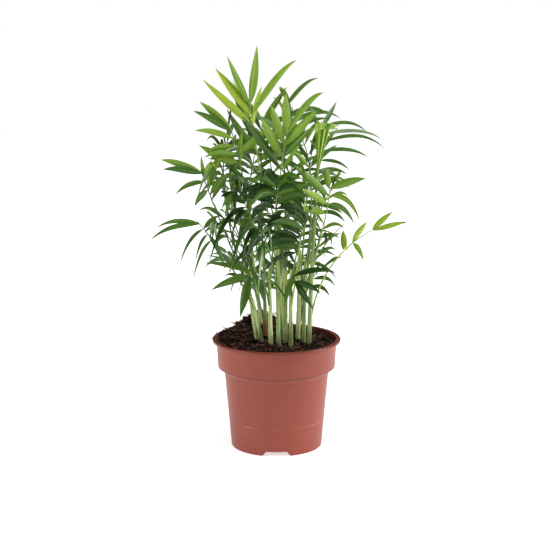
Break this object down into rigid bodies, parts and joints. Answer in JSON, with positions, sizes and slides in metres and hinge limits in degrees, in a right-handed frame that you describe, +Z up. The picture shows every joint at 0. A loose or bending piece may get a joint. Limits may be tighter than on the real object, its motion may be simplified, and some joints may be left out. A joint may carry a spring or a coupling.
{
  "type": "potted parlour palm",
  "caption": "Young parlour palm with clustered green canes, feathery fronds and one unopened spear, growing in a terracotta-coloured plastic nursery pot.",
  "frame": {"origin": "on the ground, in the middle under the pot", "axes": "+Z up along the canes, -Y towards the side that the picture shows, +X to its right"},
  "size_m": [0.234, 0.1804, 0.3751],
  "materials": {
    "pot": "satin moulded terracotta-coloured plastic, faintly scuffed",
    "soil": "damp dark brown fibrous growing mix",
    "cane": "smooth pale green stem with dry brown scars",
    "spear": "pale lime unopened leaf, waxy",
    "young_leaf": "lime green leaf with a soft waxy sheen",
    "leaf": "mid to deep green leaf with a soft waxy sheen"
  },
  "bodies": {
    "root": {"pot": "pot", "soil": "soil", "cane_01": "cane", "cane_02": "cane", "cane_03": "cane", "cane_04": "cane", "cane_05": "cane", "cane_06": "cane", "cane_07": "cane", "cane_08": "cane", "cane_09": "cane", "cane_10": "cane", "cane_11": "cane", "cane_12": "cane", "cane_13": "cane", "cane_14": "cane", "spear": "spear", "frond_top": "young_leaf", "frond_bright": "young_leaf", "frond_upper_right": "leaf", "frond_right_arch": "leaf", "frond_right_front": "leaf", "frond_far_right": "young_leaf", "frond_left": "leaf", "frond_upper_left": "leaf", "frond_left_arch": "leaf", "frond_low_left": "leaf", "frond_foot_left": "leaf", "frond_foot_right": "leaf", "frond_middle_right": "leaf", "frond_middle_left": "leaf", "frond_middle_low": "leaf", "frond_middle": "leaf", "frond_middle_high": "leaf", "frond_back_01": "leaf", "frond_back_02": "leaf", "frond_back_03": "leaf", "frond_back_04": "leaf", "frond_back_05": "leaf", "frond_back_06": "leaf", "frond_back_07": "leaf", "frond_back_08": "leaf", "frond_back_09": "leaf", "frond_back_10": "leaf", "frond_back_11": "leaf", "frond_back_12": "leaf", "frond_back_13": "leaf", "frond_back_14": "leaf", "frond_back_15": "leaf", "frond_back_16": "leaf", "frond_back_17": "leaf", "frond_back_18": "leaf", "frond_back_19": "leaf", "frond_back_20": "leaf", "frond_back_21": "leaf", "frond_back_22": "leaf", "frond_back_23": "leaf", "frond_back_24": "leaf"}
  },
  "joints": []
}
